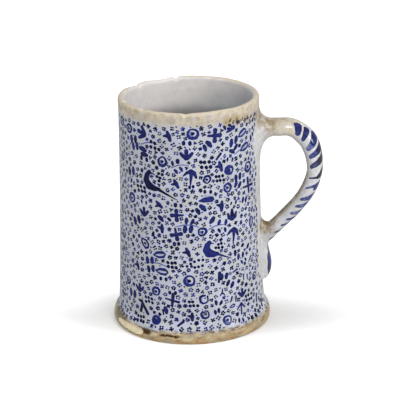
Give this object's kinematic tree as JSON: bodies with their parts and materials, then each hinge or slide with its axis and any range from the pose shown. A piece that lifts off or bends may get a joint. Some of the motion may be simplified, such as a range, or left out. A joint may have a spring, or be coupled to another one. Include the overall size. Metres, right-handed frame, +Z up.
{
  "type": "tankard",
  "caption": "Cylindrical tin-glazed earthenware drinking tankard on a spreading foot, with a pulled strap handle luted to its side, painted all over in blue.",
  "frame": {"origin": "centre of the flat base, on the axis of the thrown body", "axes": "+Z up along the body's axis, +X towards the handle, +Y away from a viewer who has the handle to the right"},
  "size_m": [0.1527, 0.1144, 0.17],
  "materials": {
    "tin_glaze": "glossy bluish white tin glaze painted in cobalt, worn to buff earthenware at rim and foot",
    "strap_glaze": "glossy greyish white tin glaze with slanting cobalt brush strokes",
    "stained_glaze": "greyish white tin glaze with brown stain in the crook of the joint"
  },
  "bodies": {
    "root": {"body": "tin_glaze", "handle": "strap_glaze", "upper_luting": "strap_glaze", "lower_luting": "stained_glaze"}
  },
  "joints": []
}
